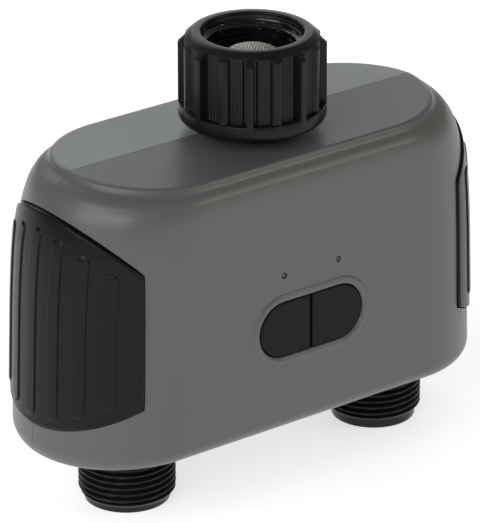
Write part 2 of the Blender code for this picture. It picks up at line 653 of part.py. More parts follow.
# ---- batteries ---------------------------------------------------------------------------------
def battery_bay():
    """Tray, four upright cells and their contacts, behind the cover."""
    low, high = TRAY_Z
    tray = box("battery_tray", (-TRAY_X, TRAY_Y[0], low), (TRAY_X, TRAY_Y[1] + 0.5, high),
               NATURAL_POM)
    flange = plate("tray_flange", rounded_rectangle(37.2, 30.6, 4.0, (low + high) / 2),
                   TRAY_Y[1], 27.0, "Y", cutter=True)
    inside = box("tray_inside", (-TRAY_X + 1.5, TRAY_Y[0] + 1.5, low + 1.5),
                 (TRAY_X - 1.5, 40, high - 1.5), cutter=True)
    boolean(tray, flange, "UNION")
    boolean(tray, inside)
    for k in range(4):
        x = (k - 1.5) * CELL_STEP
        cell_low, cell_high = CELL_Z
        flip = k % 2
        nub = 1.0
        profile = [(0.0, cell_high), (2.7, cell_high), (2.7, cell_high - nub),
                   (CELL_R, cell_high - nub), (CELL_R, cell_low), (0.0, cell_low)]
        if flip:
            total = cell_low + cell_high
            profile = [(r, total - z) for r, z in reversed(profile)]
        turned(f"battery_cell_{k + 1}", profile, x, CELL_Y, CELL_SKIN, sides=20)
    half = CELL_STEP * 2 - 0.3
    spans = {"contact_bottom_left": (-half, -0.3, 31.9), "contact_bottom_right": (0.3, half, 31.9),
             "contact_top_middle": (-CELL_STEP + 0.3, CELL_STEP - 0.3, 83.5),
             "contact_top_left": (-half, -CELL_STEP - 0.3, 83.5),
             "contact_top_right": (CELL_STEP + 0.3, half, 83.5)}
    for name, (x0, x1, z) in spans.items():
        box(name, (x0, CELL_Y - 5.5, z), (x1, CELL_Y + 5.5, z + 0.6), STEEL)


def battery_cover():
    """Hinged cover on the back with its seal. Its origin is on the hinge axis."""
    low, high = COVER_Z
    middle = (low + high) / 2
    cover = plate("battery_cover", rounded_rectangle(COVER_X, (high - low) / 2, 3.0, middle),
                  COVER_BACK_Y, FRONT_Y + PROUD, "Y", GREY_ABS)
    for end in (1, -1):
        near, far = end * HINGE_X - KNUCKLE_HALF, end * HINGE_X + KNUCKLE_HALF
        knuckle = rod(f"knuckle_{end}", (near, HINGE_Y, HINGE_Z), (far, HINGE_Y, HINGE_Z),
                      HINGE_R, cutter=True)
        strap = box(f"strap_{end}", (near, HINGE_Y - 0.1, HINGE_Z),
                    (far, HINGE_Y + 1.2, low + 0.5), cutter=True)
        bore = rod(f"knuckle_bore_{end}", (near - 1, HINGE_Y, HINGE_Z),
                   (far + 1, HINGE_Y, HINGE_Z), PIN_HOLE_R, cutter=True, sides=8)
        boolean(cover, strap, "UNION")
        boolean(cover, knuckle, "UNION")
        boolean(cover, bore)
        side = "left" if end < 0 else "right"
        rod(f"hinge_pin_{side}", (near - 2, HINGE_Y, HINGE_Z), (far + 2, HINGE_Y, HINGE_Z),
            PIN_R, STEEL, sides=8)
    seal = plate("cover_seal", rounded_rectangle(33.6, (high - low) / 2 - 0.5, 2.6, middle),
                 27.3, 28.1, "Y", BLACK_RUBBER)
    hole = plate("seal_hole", rounded_rectangle(31.8, (high - low) / 2 - 1.6, 1.6, middle),
                 20.0, 35.0, "Y", cutter=True)
    boolean(seal, hole)
    return cover


def case_screws():
    for end in (1, -1):
        side = "left" if end < 0 else "right"
        for (x, z), height in zip(SCREWS, ("upper", "lower")):
            turned(f"case_screw_{height}_{side}",
                   [(0.0, 14.0), (SCREW_R, 14.0), (SCREW_R, -8.3), (SCREW_HEAD_R, -8.3),
                    (SCREW_HEAD_R, -10.3), (0.0, -10.3)],
                   end * x, 0.0, STEEL, sides=SMALL, axis="Y").location[2] = mm(z)


def put_on_axis(name, x, y, z):
    """Give a moving piece an empty on its joint axis, and parent it there."""
    piece = bpy.data.objects[name]
    empty = bpy.data.objects.new(name + "_axis", None)
    PARTS.objects.link(empty)
    empty.location = mm(x, y, z)
    bpy.context.view_layer.update()
    world = piece.matrix_world.copy()
    piece.parent = empty
    piece.matrix_parent_inverse = empty.matrix_world.inverted()
    piece.matrix_world = world


GRIP_INNER = full_form("grip_inner", body_levels(-GRIP_SUNK), 24)
RECESS_INNER = full_form("recess_inner", body_levels(-GRIP_SUNK - GAP), 24)
RIB_INNER = full_form("rib_inner", body_levels(-0.8 * GRIP_SUNK), 24)
GRIP_WINDOW = {end: plate(f"grip_window_{end}", grip_outline(end), -40.0, 40.0, "Y", cutter=True)
               for end in (1, -1)}

shells()
grip("left_grip", -1)
grip("right_grip", 1)
inlet()
manifold()
valve("left", -1)
valve("right", 1)
electronics()
battery_bay()
battery_cover()
case_screws()

put_on_axis("battery_cover", 0.0, HINGE_Y, HINGE_Z)
for side, end in (("left", -1), ("right", 1)):
    put_on_axis(f"button_{side}", end * SWITCH_X, BUTTON_FACE_Y, BUTTON_Z)
    put_on_axis(f"plunger_{side}", end * OUTLET_X, PLUMB_Y, 62.6)
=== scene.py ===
"""The visible surfaces of a two-outlet drip irrigation timer, built over its CAD frame.

Lengths are in millimetres until mm() or mesh_object() turns them into metres.
The body's sizes are read from the frame; the small ones are named below.
"""
import json
import math

import bmesh
import bpy
import numpy as np
from mathutils import Matrix, Vector


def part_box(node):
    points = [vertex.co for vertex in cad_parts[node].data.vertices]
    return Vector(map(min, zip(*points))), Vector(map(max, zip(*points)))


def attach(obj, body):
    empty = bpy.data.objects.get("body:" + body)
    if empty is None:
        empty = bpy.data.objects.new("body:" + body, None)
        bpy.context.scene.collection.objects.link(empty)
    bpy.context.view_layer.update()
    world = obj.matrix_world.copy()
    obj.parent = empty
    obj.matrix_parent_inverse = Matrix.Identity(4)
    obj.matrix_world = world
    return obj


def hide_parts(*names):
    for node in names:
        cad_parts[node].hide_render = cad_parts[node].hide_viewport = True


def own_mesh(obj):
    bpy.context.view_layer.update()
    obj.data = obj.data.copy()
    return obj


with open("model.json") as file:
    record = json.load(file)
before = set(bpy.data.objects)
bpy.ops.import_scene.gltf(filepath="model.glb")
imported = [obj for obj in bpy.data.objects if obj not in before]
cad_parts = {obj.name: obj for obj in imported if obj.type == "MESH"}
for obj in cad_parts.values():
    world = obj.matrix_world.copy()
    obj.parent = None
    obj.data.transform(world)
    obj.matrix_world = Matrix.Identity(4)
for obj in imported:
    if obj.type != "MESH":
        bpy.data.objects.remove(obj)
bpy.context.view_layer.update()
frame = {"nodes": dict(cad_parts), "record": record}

TAU = 2 * math.pi


def mm(*values):
    scaled = tuple(v * 0.001 for v in values)
    return scaled[0] if len(scaled) == 1 else scaled


def node_box(node):
    """Lowest and highest corner of a CAD node, in millimetres."""
    low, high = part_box(node)
    return Vector(low) * 1000, Vector(high) * 1000


# ---- sizes read from the frame -----------------------------------------------------------
NUT_LOW, NUT_HIGH = node_box("inlet_nut")
OUT_LOW, OUT_HIGH = node_box("outlet_right")
BUTTON_LOW, BUTTON_HIGH = node_box("button_right")
COVER_HIGH = node_box("battery_cover")[1]
FRONT_LOW = node_box("front_shell")[0]

PLUMB_Y = (NUT_LOW.y + NUT_HIGH.y) / 2
OUTLET_X = (OUT_LOW.x + OUT_HIGH.x) / 2
NUT_R = (NUT_HIGH.x - NUT_LOW.x) / 2
BODY_Z = FRONT_LOW.z
PROUD = 0.5
HALF_DEPTH = -FRONT_LOW.y - PROUD

# ---- small sizes -------------------------------------------------------------------------
GAP = 0.3
SEAM = 0.07
CROWN = 0.05
CROWN_START, CROWN_FULL = 80.0, 93.0
BODY_ROUND, END_ROUND, SIDE_ROUND = 5.0, 3.5, 7.0
FOOT_FLARE, FOOT_TUCK, PLATEAU_INSET, SHELL_BEVEL = 0.3, 0.1, 0.4, 0.05
WALL_LEVELS = [(30.0, 70.6, 29.75), (60.0, 69.5, 29.75), (75.0, 68.4, 29.75),
               (82.0, 67.2, 29.7), (87.0, 65.8, 29.6), (90.5, 64.3, 29.4)]
TOP_LEVELS = [(93.0, 62.6, 28.9), (94.2, 61.4, 28.2), (94.9, 60.3, 27.5),
              (95.4, 59.4, 26.9), (95.9, 58.7, 26.5), (96.6, 58.1, 26.2),
              (97.2, 57.6, 25.9), (97.45, 56.7, 25.2)]
CAVITY_LEVELS = [(20.4, 62.6, 22.8), (23.5, 66.6, 27.0), (30.0, 67.2, 27.35),
                 (60.0, 66.1, 27.35), (75.0, 65.0, 27.35), (82.0, 63.8, 27.35),
                 (90.2, 61.3, 27.35), (92.2, 58.5, 25.2), (94.2, 54.0, 21.0)]

GRIP_X, GRIP_LEAN = 53.5, 0.85
GRIP_FRONT_Z = (37.3, 75.0)
GRIP_TOP_SLOPE, GRIP_BOTTOM_SLOPE = 1.02, -0.51
GRIP_PROUD, GRIP_SUNK, GRIP_MARGIN = 0.77, 1.0, 0.26
GRIP_EDGE, GRIP_CORNER = 0.6, 2.6
# how far the body's bend and the slopes shorten a distance along the grip's edges
EDGE_TURN, LOW_EDGE_LEAN, HIGH_EDGE_LEAN = 0.87, 0.92, 0.78
GRIP_RIBS, GRIP_RIB_STEP = 7, math.radians(15.4)
RIB_HALF, RIB_HEIGHT, RIB_EDGE = 1.8, 0.39, 0.3
RIB_BELOW_TOP, RIB_ABOVE_BOTTOM = 3.6, 6.0
RIB_LOW_LEVEL, RIB_HIGH_LEVEL = 33.0, 80.0
RIB_TOP_SLOPE, RIB_BOTTOM_SLOPE = 0.87, -0.72

BUTTON_Z = (BUTTON_LOW.z + BUTTON_HIGH.z) / 2
BUTTON_HALF, BUTTON_R, BUTTON_SPLIT, BUTTON_CLEARANCE = 17.3, 7.9, 0.8, 0.6
LAMP_X, LAMP_Z, LAMP_R = 9.1, 64.7, 0.9
SCREWS = [(48.0, 88.5), (62.0, 28.0)]
SCREW_POST_R, SCREW_PILOT_R, SCREW_SINK_R, SCREW_SEAT_Y = 3.0, 1.7, 2.5, 8.0
COVER_Z = (30.0, COVER_HIGH.z)
HINGE_X, HINGE_Y, HINGE_Z, HINGE_R = 20.0, 28.55, 28.0, 1.3

THREAD_R, THREAD_PITCH, THREAD_DEPTH = 13.22, 1.814, 1.16


# ---- mesh helpers ------------------------------------------------------------------------
def arc(cx, cy, radius, start, end, steps):
    """Points of an arc, angles in degrees."""
    turn = [math.radians(start + (end - start) * i / steps) for i in range(steps + 1)]
    return [(cx + radius * math.cos(t), cy + radius * math.sin(t)) for t in turn]


def rounded_rectangle(half_u, half_v, radius, centre_v=0.0, steps=12):
    u, v = half_u - radius, half_v - radius
    outline = []
    for cu, cv, start in [(u, v, 0), (-u, v, 90), (-u, -v, 180), (u, -v, 270)]:
        outline += arc(cu, centre_v + cv, radius, start, start + 90, steps)
    return outline


def smooth_curve(points, steps):
    """Catmull-Rom points through the given ones, any dimension."""
    points = [np.array(p, float) for p in points]
    padded = [2 * points[0] - points[1]] + points + [2 * points[-1] - points[-2]]
    result = []
    for a, b, c, d in zip(padded, padded[1:], padded[2:], padded[3:]):
        for i in range(steps):
            t = i / steps
            result.append(0.5 * (2 * b + (c - a) * t + (2 * a - 5 * b + 4 * c - d) * t * t
                                 + (3 * b - a - 3 * c + d) * t ** 3))
    result.append(points[-1])
    return [tuple(p) for p in result]


def smoothstep(low, high, value):
    t = np.clip((value - low) / (high - low), 0.0, 1.0)
    return t * t * (3 - 2 * t)


def mesh_object(name, vertices, faces, smooth=40):
    """A mesh from millimetre points, its faces turned outward."""
    mesh = bpy.data.meshes.new(name)
    mesh.from_pydata([mm(*v) for v in vertices], [], faces)
    mesh.update()
    bm = bmesh.new()
    bm.from_mesh(mesh)
    bmesh.ops.remove_doubles(bm, verts=bm.verts, dist=0.0000005)
    bmesh.ops.recalc_face_normals(bm, faces=bm.faces)
    bm.to_mesh(mesh)
    bm.free()
    obj = bpy.data.objects.new(name, mesh)
    bpy.context.scene.collection.objects.link(obj)
    shade(obj, smooth)
    return obj


def shade(obj, angle):
    obj.data.shade_smooth()
    obj.data.set_sharp_from_angle(angle=math.radians(angle))


def grid_faces(rows, columns, wrap=True, start=0):
    """Quads between rows of points; wrap joins each row's end to its start."""
    faces = []
    last = columns if wrap else columns - 1
    for r in range(rows - 1):
        for c in range(last):
            d = (c + 1) % columns
            low, high = start + r * columns, start + (r + 1) * columns
            faces.append((low + c, low + d, high + d, high + c))
    return faces


def turned(name, profile, x, y, sides=96, smooth=40, closed=True, bend=None):
    """A ring or solid turned about a vertical axis from (radius, height) points.

    bend(angle, radius, height) may return another radius for threads and ribs.
    """
    vertices = []
    for r, z in profile:
        for k in range(sides):
            t = TAU * k / sides
            out = bend(t, r, z) if bend else r
            vertices.append((x + out * math.cos(t), y + out * math.sin(t), z))
    faces = grid_faces(len(profile), sides)
    if closed:
        top = (len(profile) - 1) * sides
        for k in range(sides):
            d = (k + 1) % sides
            faces.append((top + k, top + d, d, k))
    else:
        faces.append(tuple(range(sides)))
        faces.append(tuple((len(profile) - 1) * sides + k for k in range(sides)))
    return mesh_object(name, vertices, faces, smooth)


def prism(name, outline, low, high, smooth=40):
    """An (x, z) outline given depth from y = low to y = high."""
    count = len(outline)
    vertices = [(x, y, z) for y in (low, high) for x, z in outline]
    faces = [(k, (k + 1) % count, count + (k + 1) % count, count + k) for k in range(count)]
    faces += [tuple(range(count)), tuple(range(count, 2 * count))]
    return mesh_object(name, vertices, faces, smooth)


def block(name, low, high):
    outline = [(low[0], low[2]), (high[0], low[2]), (high[0], high[2]), (low[0], high[2])]
    return prism(name, outline, low[1], high[1])


def cylinder(name, start, end, radius, sides=48):
    a, b = Vector(start), Vector(end)
    turn = (b - a).to_track_quat("Z", "Y").to_matrix()
    vertices = []
    for centre in (a, b):
        for k in range(sides):
            t = TAU * k / sides
            vertices.append(centre + turn @ Vector((radius * math.cos(t), radius * math.sin(t), 0)))
    faces = grid_faces(2, sides) + [tuple(range(sides)), tuple(range(sides, 2 * sides))]
    return mesh_object(name, vertices, faces)


def boolean(obj, other, operation="DIFFERENCE"):
    step = obj.modifiers.new(operation.lower(), "BOOLEAN")
    step.operation = operation
    step.object = other
    step.solver = "EXACT"
    return obj


def bevel(obj, width, angle=50, segments=2):
    step = obj.modifiers.new("edges", "BEVEL")
    step.width = mm(width)
    step.segments = segments
    step.limit_method = "ANGLE"
    step.angle_limit = math.radians(angle)
    step.use_clamp_overlap = True
    return obj


def bake(obj):
    """Turn an object's modifiers into plain mesh."""
    bpy.context.view_layer.update()
    seen = obj.evaluated_get(bpy.context.evaluated_depsgraph_get())
    mesh = bpy.data.meshes.new_from_object(seen)
    obj.modifiers.clear()
    old = obj.data
    obj.data = mesh
    bpy.data.meshes.remove(old)


def apply_all(obj, smooth=35):
    """Bake an object's modifiers and clean the mesh they leave."""
    bake(obj)
    bm = bmesh.new()
    bm.from_mesh(obj.data)
    bmesh.ops.dissolve_degenerate(bm, dist=0.000002, edges=bm.edges)
    bm.to_mesh(obj.data)
    bm.free()
    shade(obj, smooth)
    return obj


def discard(*objects):
    for obj in objects:
        bpy.data.objects.remove(obj, do_unlink=True)


def finish_piece(obj, mat, body, nodes=()):
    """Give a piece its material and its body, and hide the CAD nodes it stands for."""
    obj.data.materials.clear()
    obj.data.materials.append(mat)
    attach(obj, body)
    if nodes:
        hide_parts(*nodes)
    return obj


# ---- materials ---------------------------------------------------------------------------
def plastic(name, colour, roughness, grain=0.35, bump=0.05, mottle=0.04, specular=0.5,
            metallic=0.0, streak=None):
    """A moulded surface: fine spark-eroded grain, slight mottling and uneven gloss."""
    made = bpy.data.materials.new(name)
    made.use_nodes = True
    nodes, links = made.node_tree.nodes, made.node_tree.links
    shader = nodes["Principled BSDF"]
    shader.inputs["Metallic"].default_value = metallic
    shader.inputs["Specular IOR Level"].default_value = specular
    place = nodes.new("ShaderNodeTexCoord")
    fine = nodes.new("ShaderNodeTexNoise")
    fine.inputs["Scale"].default_value = 1000.0 / grain
    fine.inputs["Detail"].default_value = 3.0
    broad = nodes.new("ShaderNodeTexNoise")
    broad.inputs["Scale"].default_value = 60.0
    broad.inputs["Detail"].default_value = 4.0
    links.new(place.outputs["Object"], fine.inputs["Vector"])
    links.new(place.outputs["Object"], broad.inputs["Vector"])
    tint = nodes.new("ShaderNodeMix")
    tint.data_type = "RGBA"
    tint.inputs["A"].default_value = (*[c * (1 - mottle) for c in colour], 1.0)
    tint.inputs["B"].default_value = (*[c * (1 + mottle) for c in colour], 1.0)
    links.new(broad.outputs["Fac"], tint.inputs["Factor"])
    links.new(tint.outputs["Result"], shader.inputs["Base Color"])
    rough = nodes.new("ShaderNodeMapRange")
    rough.inputs["To Min"].default_value = roughness - 0.05
    rough.inputs["To Max"].default_value = roughness + 0.05
    links.new(broad.outputs["Fac"], rough.inputs["Value"])
    links.new(rough.outputs["Result"], shader.inputs["Roughness"])
    height = fine.outputs["Fac"]
    if streak:
        wave = nodes.new("ShaderNodeTexNoise")
        stretch = nodes.new("ShaderNodeMapping")
        stretch.inputs["Scale"].default_value = streak
        wave.inputs["Scale"].default_value = 400.0
        links.new(place.outputs["Object"], stretch.inputs["Vector"])
        links.new(stretch.outputs["Vector"], wave.inputs["Vector"])
        both = nodes.new("ShaderNodeMath")
        links.new(fine.outputs["Fac"], both.inputs[0])
        links.new(wave.outputs["Fac"], both.inputs[1])
        height = both.outputs["Value"]
    relief = nodes.new("ShaderNodeBump")
    relief.inputs["Strength"].default_value = bump
    relief.inputs["Distance"].default_value = mm(0.05)
    links.new(height, relief.inputs["Height"])
    links.new(relief.outputs["Normal"], shader.inputs["Normal"])
    return made


GREY = plastic("grey_abs", (0.103, 0.1025, 0.0965), 0.36, grain=0.25, bump=0.18)
GRIP_BLACK = plastic("black_grip", (0.0058, 0.0054, 0.0056), 0.29, grain=0.3, bump=0.12,
                     specular=0.18)
BORE = plastic("black_bore", (0.0072, 0.0066, 0.0062), 0.20, grain=0.25, bump=0.05,
               specular=0.65)
NYLON = plastic("black_nylon", (0.0072, 0.0066, 0.0062), 0.32, grain=0.2, bump=0.12,
                specular=0.2, streak=(1.0, 1.0, 0.04))
THREADS = plastic("black_thread", (0.0072, 0.0067, 0.0063), 0.30, grain=0.25, bump=0.1,
                  specular=0.28)
SILICONE = plastic("black_silicone", (0.0095, 0.0093, 0.0085), 0.5, grain=0.15, bump=0.12,
                   specular=0.12)
RUBBER = plastic("black_rubber", (0.018, 0.018, 0.018), 0.75, grain=0.4, bump=0.3)
WIRE = plastic("stainless_wire", (0.88, 0.85, 0.79), 0.38, grain=0.1, bump=0.05, metallic=1.0)
STEEL = plastic("plated_steel", (0.55, 0.55, 0.54), 0.30, grain=0.2, bump=0.1, metallic=1.0)
ACETAL = plastic("natural_acetal", (0.62, 0.62, 0.58), 0.40, grain=0.3, bump=0.1)
COPPER = plastic("enamelled_copper", (0.50, 0.17, 0.06), 0.30, grain=0.2, bump=0.2,
                 metallic=1.0, streak=(0.05, 0.05, 6.0))
BOARD = plastic("solder_mask", (0.010, 0.110, 0.040), 0.30, grain=0.5, bump=0.1)
SKIN = plastic("cell_film", (0.020, 0.060, 0.160), 0.25, grain=0.6, bump=0.02)
LENS = plastic("smoked_acrylic", (0.030, 0.030, 0.028), 0.18, grain=0.3, bump=0.02)


# ---- body surface ------------------------------------------------------------------------
def crown_drop(z, y):
    share = (z - CROWN_START) / (CROWN_FULL - CROWN_START)
    return CROWN * abs(y) * min(max(share, 0.0), 1.0)


def body_levels(grow=0.0, fine=1):
    """(height, half length, half depth) from the underside up to the plateau."""
    first_a, first_b = WALL_LEVELS[0][1:]
    steps = 4 * fine
    levels = []
    for i in range(steps):
        t = math.pi / 2 * i / steps
        inset = 1 - math.sin(t)
        levels.append((BODY_Z + BODY_ROUND * (1 - math.cos(t)),
                       first_a + FOOT_FLARE - END_ROUND * inset,
                       first_b - FOOT_TUCK - SIDE_ROUND * inset))
    levels.append((BODY_Z + BODY_ROUND, first_a + FOOT_FLARE, first_b - FOOT_TUCK))
    upper = WALL_LEVELS + TOP_LEVELS
    levels += smooth_curve(upper, 2 * fine) if fine > 1 else upper
    return [(z, a + grow, b + grow) for z, a, b in levels]


def end_arc(a, b, end, steps):
    """Half a turn around one end: +Y to -Y at +X (end 1), and -Y to +Y at -X (end -1)."""
    turn = [math.pi / 2 - math.pi * i / steps for i in range(steps + 1)]
    return [(end * (a - b + b * math.cos(t)), end * b * math.sin(t)) for t in turn]


def full_form(name, levels, steps=36):
    """A whole closed form through the given levels."""
    vertices, columns = [], 2 * (steps + 1)
    for z, a, b in levels:
        outline = end_arc(a, b, 1, steps) + end_arc(a, b, -1, steps)
        vertices += [(x, y, z - crown_drop(z, y)) for x, y in outline]
    rows = len(levels)
    faces = grid_faces(rows, columns)
    first = steps // 2
    last = first + steps + 1
    for start in (0, (rows - 1) * columns):
        ring = [start + k for k in range(columns)]
        faces += [tuple(ring[first:last + 1]), tuple(ring[last:] + ring[:first + 1])]
    return mesh_object(name, vertices, faces)


def half_form(name, side, steps=96):
    """One half of the outer form, flat on the parting plane."""
    vertices, columns = [], steps + 2
    levels = body_levels(fine=6)
    z, a, b = levels[-1]
    levels.append((z, a - PLATEAU_INSET, b - PLATEAU_INSET))
    for z, a, b in levels:
        quarter = [(x, y) for x, y in end_arc(a, b, 1, steps) if y * side >= -1e-6]
        quarter = sorted(quarter, key=lambda p: -p[0])
        outline = quarter + [(-x, y) for x, y in reversed(quarter)]
        for x, y in outline:
            y = side * max(abs(y), SEAM / 2)
            vertices.append((x, y, z - crown_drop(z, y)))
    rows = len(levels)
    faces = grid_faces(rows, columns, wrap=False)
    top = (rows - 1) * columns
    faces += [tuple(range(columns)), tuple(top + k for k in range(columns))]
    right = [r * columns for r in range(rows)]
    left = [r * columns + columns - 1 for r in range(rows)]
    faces.append(tuple(right + left[::-1]))
    obj = mesh_object(name, vertices, faces)
    bevel(obj, SHELL_BEVEL, angle=70)
    return obj


def grip_outline(end, margin):
    """The grip's recess seen from the front, as (x, z) pairs."""
    low, high = GRIP_FRONT_Z
    far, foot = 80.0, GRIP_X - margin
    head = foot - GRIP_LEAN
    top, bottom = high + margin * 1.4, low - margin * 1.1
    points = [(foot, bottom), (far, bottom + GRIP_BOTTOM_SLOPE * (far - foot)),
              (far, top + GRIP_TOP_SLOPE * (far - head)), (head, top)]
    return [(end * x, z) for x, z in points]


def shells():
    """Both halves of the body with their openings, posts and grip recesses."""
    front, back = half_form("front_shell_skin", -1), half_form("back_shell_skin", 1)
    hollow = full_form("cavity", CAVITY_LEVELS)
    neck = cylinder("neck_hole", (0, PLUMB_Y, 85), (0, PLUMB_Y, 105), 11.5, 96)
    cutters = [hollow, neck]
    for end in (1, -1):
        for x, z in SCREWS:
            post = cylinder("post", (end * x, -40, z), (end * x, 40, z), SCREW_POST_R)
            boolean(hollow, post)
            cutters.append(post)
    for shell in (front, back):
        boolean(shell, hollow)
        boolean(shell, neck)
    inner = full_form("recess_inner", body_levels(-GRIP_SUNK - GAP, 4), 72)
    cutters.append(inner)
    for end in (1, -1):
        hole = cylinder("outlet_hole", (end * OUTLET_X, PLUMB_Y, 10),
                        (end * OUTLET_X, PLUMB_Y, 24), THREAD_R + 0.5, 96)
        recess = full_form("recess", body_levels(3.0))
        boolean(recess, inner)
        margin = prism("grip_margin", grip_outline(end, GRIP_MARGIN), -40.0, 40.0)
        boolean(recess, margin, "INTERSECT")
        cutters += [hole, recess, margin]
        for shell in (front, back):
            boolean(shell, hole)
            boolean(shell, recess)
        for x, z in SCREWS:
            pilot = cylinder("pilot", (end * x, -16, z), (end * x, 40, z), SCREW_PILOT_R)
            sink = cylinder("sink", (end * x, SCREW_SEAT_Y, z), (end * x, 40, z),
                            SCREW_SINK_R)
            boolean(back, pilot)
            boolean(back, sink)
            cutters += [pilot, sink]
        lamp = cylinder("lamp_hole", (end * LAMP_X, -33, LAMP_Z), (end * LAMP_X, -25, LAMP_Z),
                        LAMP_R, 32)
        boolean(front, lamp)
        cutters.append(lamp)
    wide, tall = BUTTON_HALF + BUTTON_CLEARANCE, BUTTON_R + BUTTON_CLEARANCE
    opening = prism("button_opening", rounded_rectangle(wide, tall, tall - 0.01, BUTTON_Z, 24),
                    -33.0, -25.0)
    boolean(front, opening)
    low, high = COVER_Z[0] - 0.7, COVER_Z[1] + GAP
    doorway = prism("doorway", rounded_rectangle(COVER_HIGH.x + GAP, (high - low) / 2, 3.3,
                                                 (high + low) / 2), 20.0, 33.0)
    boolean(back, doorway)
    cutters += [opening, doorway]
    for end in (1, -1):
        notch = block("hinge_notch", (end * HINGE_X - 4.4, 25.0, HINGE_Z - 1.8),
                      (end * HINGE_X + 4.4, 33.0, HINGE_Z + 8))
        boolean(back, notch)
        cutters.append(notch)
    for shell in (front, back):
        apply_all(shell)
        even = shell.modifiers.new("even", "WEIGHTED_NORMAL")
        even.keep_sharp = True
        bake(shell)
    discard(*cutters)
    return front, back


def button_rim():
    """The soft raised rim around the buttons, swept along the stadium opening."""
    profile = [(0.4, -2.2), (0.22, -1.9), (0.18, -0.6), (0.19, -0.12), (0.26, 0.06),
               (0.42, 0.22), (0.65, 0.36), (0.92, 0.46), (1.2, 0.5), (1.55, 0.495), (1.8, 0.46),
               (2.02, 0.38), (2.2, 0.26), (2.35, 0.12), (2.46, -0.02), (2.54, -0.2),
               (1.4, -0.9)]
    steps, vertices = 32, []
    straight = BUTTON_HALF - BUTTON_R
    for out, rise in profile:
        ring = (arc(straight, BUTTON_Z, BUTTON_R + out, -90, 90, steps)
                + arc(-straight, BUTTON_Z, BUTTON_R + out, 90, 270, steps))
        vertices += [(x, -HALF_DEPTH - rise, z) for x, z in ring]
    columns = 2 * (steps + 1)
    faces = grid_faces(len(profile), columns)
    last = (len(profile) - 1) * columns
    for k in range(columns):
        d = (k + 1) % columns
        faces.append((last + k, last + d, d, k))
    return mesh_object("button_rim", vertices, faces, 50)


# ---- grips -------------------------------------------------------------------------------
EDGE_STEPS = [0.0, 0.05, 0.12, 0.22, 0.34, 0.48, 0.62, 0.9, 1.3]
RIB_STEPS = [0.0, 0.7, 1.15, 1.35, 1.47, 1.58, 1.67, 1.74, 1.78, 1.8, 1.88, 2.1]
LEVELS = np.array([lv for lv in body_levels(fine=6) if lv[0] < 96.0])


def level_at(z):
    """Half length and half depth of the body at a height on its wall."""
    return np.interp(z, LEVELS[:, 0], LEVELS[:, 1]), np.interp(z, LEVELS[:, 0], LEVELS[:, 2])


def corner_cut(along, slope, radius):
    """How far a rounded corner pulls a sloping edge in, at a distance along it."""
    steep = math.hypot(1.0, slope)
    reach = radius * (1 - slope / steep)
    near = np.minimum(along, reach)
    centre = radius * (slope - steep)
    curve = centre + np.sqrt(np.maximum(radius ** 2 - (radius - near) ** 2, 0.0))
    return np.where(along < reach, slope * along - curve, 0.0)


